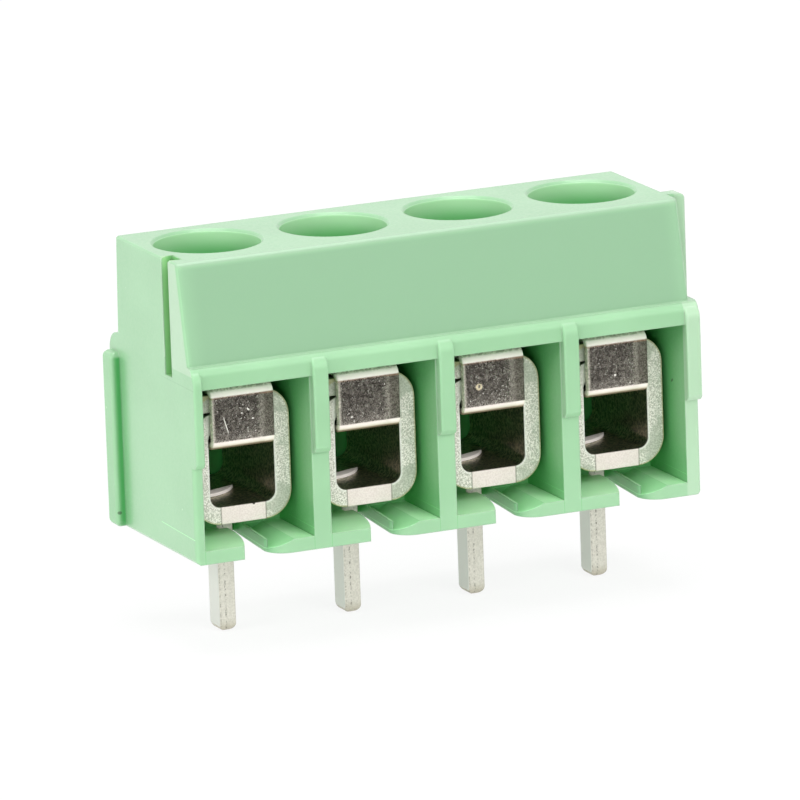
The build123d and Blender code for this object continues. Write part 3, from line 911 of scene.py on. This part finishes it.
# Dressing the model
def dress_nodes(finishes):
    """Gives each CAD node the finish of its kind, which is its name without the pole's number."""
    for name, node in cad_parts.items():
        node.data.materials.clear()
        node.data.materials.append(finishes[name.rstrip("_0123456789")])


def add_leaves(finish):
    first = wire_leaf()
    first.data.materials.append(finish)
    for number in range(1, POLES + 1):
        leaf = first if number == 1 else copy_along(first, f"wire_leaf_{number}", PITCH * (number - 1))
        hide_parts(f"wire_guard_{number}")
        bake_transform(leaf)


def add_screws(finish):
    first = clamp_screw()
    first.data.materials.clear()
    first.data.materials.append(finish)
    for number in range(1, POLES + 1):
        screw = first if number == 1 else copy_along(first, f"wound_screw_{number}", PITCH * (number - 1))
        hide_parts(f"clamp_screw_{number}")
        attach(screw, f"screw_{number}")


# Camera: solved from the straight edges of the block in the photograph
AIM = Vector((0, -1.17 * MM, 4.5 * MM))
CAMERA_TURN = math.radians(23.856)
CAMERA_RISE = math.radians(13.475)
CAMERA_ROLL = math.radians(-2.009)
CAMERA_DISTANCE = 399.124 * MM
SENSOR_WIDTH = 36
FOCAL_PIXELS = 10738.55
OPTICAL_AXIS = (415.843, 397.931)
FRAME_PIXELS = 800


def add_camera():
    turn, rise, roll = CAMERA_TURN, CAMERA_RISE, CAMERA_ROLL
    back = Vector((-math.sin(turn) * math.cos(rise), -math.cos(turn) * math.cos(rise), math.sin(rise)))
    right = Vector((math.cos(turn), -math.sin(turn), 0))
    up = back.cross(right)
    rolled_right = right * math.cos(roll) + up * math.sin(roll)
    rolled_up = -right * math.sin(roll) + up * math.cos(roll)
    data = bpy.data.cameras.new("camera")
    camera = bpy.data.objects.new("camera", data)
    bpy.context.scene.collection.objects.link(camera)
    attitude = Matrix((rolled_right, rolled_up, back)).transposed().to_4x4()
    camera.matrix_world = Matrix.Translation(AIM + back * CAMERA_DISTANCE) @ attitude
    data.sensor_width = SENSOR_WIDTH
    data.lens = FOCAL_PIXELS * SENSOR_WIDTH / FRAME_PIXELS
    data.shift_x = -(OPTICAL_AXIS[0] - FRAME_PIXELS / 2) / FRAME_PIXELS
    data.shift_y = (OPTICAL_AXIS[1] - FRAME_PIXELS / 2) / FRAME_PIXELS
    data.clip_start = 0.01
    data.clip_end = 20
    bpy.context.scene.camera = camera


# Studio: floor, black cards, lamps and world
WHITE = (1, 1, 1, 1)
FLOOR_SIZE = 6
FLOOR_COLOUR = (0.9, 0.9, 0.9, 1)
FLOOR_GLOW = 0.86
FLAG_COLOUR = (0.012, 0.011, 0.010, 1)
AMBIENT = 0.40

# Cards: name, middle, width and height, and turn from flat
FLAGS = (
    ("flag_low", (0.03, -0.085, PIN_TIP_Z + 0.1 * MM), (0.5, 0.13), 0.0),
    ("flag_high", (0.03, -0.15, 0.007), (0.5, 0.02), math.pi / 2),
)

# Lamps: name, place, width, power in watts, and whether gloss mirrors it
LAMPS = (
    ("lamp_left", (-0.42, -0.06, 0.20), 0.30, 1.15, False),
    ("lamp_top", (0.02, 0.02, 0.50), 0.36, 1.45, True),
    ("lamp_rear", (-0.12, 0.46, 0.27), 0.30, 0.5, False),
    ("lamp_front", (0.10, -0.44, 0.27), 0.30, 1.58, False),
    ("lamp_low", (-0.25, -0.43, 0.05), 0.12, 0.5, False),
)


def seen_as_background(tree):
    """1 for rays from the camera, from a reflection or through glass, 0 for rays that light the object."""
    path = tree.nodes.new("ShaderNodeLightPath")
    seen = path.outputs["Is Camera Ray"]
    for kind in ("Is Glossy Ray", "Is Transmission Ray"):
        either = tree.nodes.new("ShaderNodeMath")
        either.operation = "MAXIMUM"
        tree.links.new(seen, either.inputs[0])
        tree.links.new(path.outputs[kind], either.inputs[1])
        seen = either.outputs[0]
    return seen


def show_blend(tree, share, first, second, output):
    """Links a blend of two shaders to the material's or the world's output."""
    blend = tree.nodes.new("ShaderNodeMixShader")
    for socket, source in zip(blend.inputs, (share, first, second)):
        tree.links.new(source, socket)
    tree.links.new(blend.outputs[0], tree.nodes[output].inputs["Surface"])


def add_floor():
    bpy.ops.mesh.primitive_plane_add(size=FLOOR_SIZE, location=(0, 0, PIN_TIP_Z - HAIR))
    floor = bpy.context.object
    floor.name = "floor"
    f = Finish("floor_white")
    f.set(Base_Color=FLOOR_COLOUR, Roughness=0.9, Specular_IOR_Level=0.0)
    glow = f.tree.nodes.new("ShaderNodeEmission")
    glow.inputs["Color"].default_value = WHITE
    share = f.times(seen_as_background(f.tree), FLOOR_GLOW)
    show_blend(f.tree, share, f.shader.outputs[0], glow.outputs[0], "Material Output")
    floor.data.materials.append(f.material)


def add_flag_cards():
    """Black cards in front of the object that only reflections see, as in a photographer's studio."""
    f = Finish("flag_black")
    f.set(Base_Color=FLAG_COLOUR, Roughness=0.9)
    for name, place, size, turn in FLAGS:
        bpy.ops.mesh.primitive_plane_add(size=1, location=place, rotation=(turn, 0, 0))
        card = bpy.context.object
        card.name = name
        card.scale = (*size, 1)
        settle(card)
        card.data.materials.append(f.material)
        card.visible_camera = False
        card.visible_diffuse = False
        card.visible_shadow = False
        card.visible_transmission = False


def add_lamps():
    """Soft square lamps. Only the one overhead is mirrored in the gloss, so that no side washes out."""
    for name, place, size, power, shines in LAMPS:
        data = bpy.data.lights.new(name, "AREA")
        data.shape = "SQUARE"
        data.size = size
        data.energy = power
        lamp = bpy.data.objects.new(name, data)
        lamp.location = place
        lamp.visible_glossy = shines
        lamp.rotation_mode = "QUATERNION"
        lamp.rotation_quaternion = (AIM - Vector(place)).to_track_quat("-Z", "Y")
        bpy.context.scene.collection.objects.link(lamp)


def set_world():
    """A plain dim surround for the light, and a white one for what is seen."""
    world = bpy.data.worlds.new("studio")
    bpy.context.scene.world = world
    world.use_nodes = True
    tree = world.node_tree
    ambient = tree.nodes["Background"]
    backdrop = tree.nodes.new("ShaderNodeBackground")
    for background, strength in ((ambient, AMBIENT), (backdrop, 1.0)):
        background.inputs["Color"].default_value = WHITE
        background.inputs["Strength"].default_value = strength
    show_blend(tree, seen_as_background(tree), ambient.outputs[0], backdrop.outputs[0], "World Output")
    bpy.context.scene.view_settings.view_transform = "Standard"


add_camera()
set_world()
add_lamps()
add_floor()
add_flag_cards()
finishes = {
    "housing": green_plastic(),
    "clamp_body": tinned_strip(),
    "wire_guard": plated_leaf(),
    "clamp_screw": zinc_screw(),
}
dress_nodes(finishes)
add_leaves(finishes["wire_guard"])
add_screws(finishes["clamp_screw"])

deselect_all()
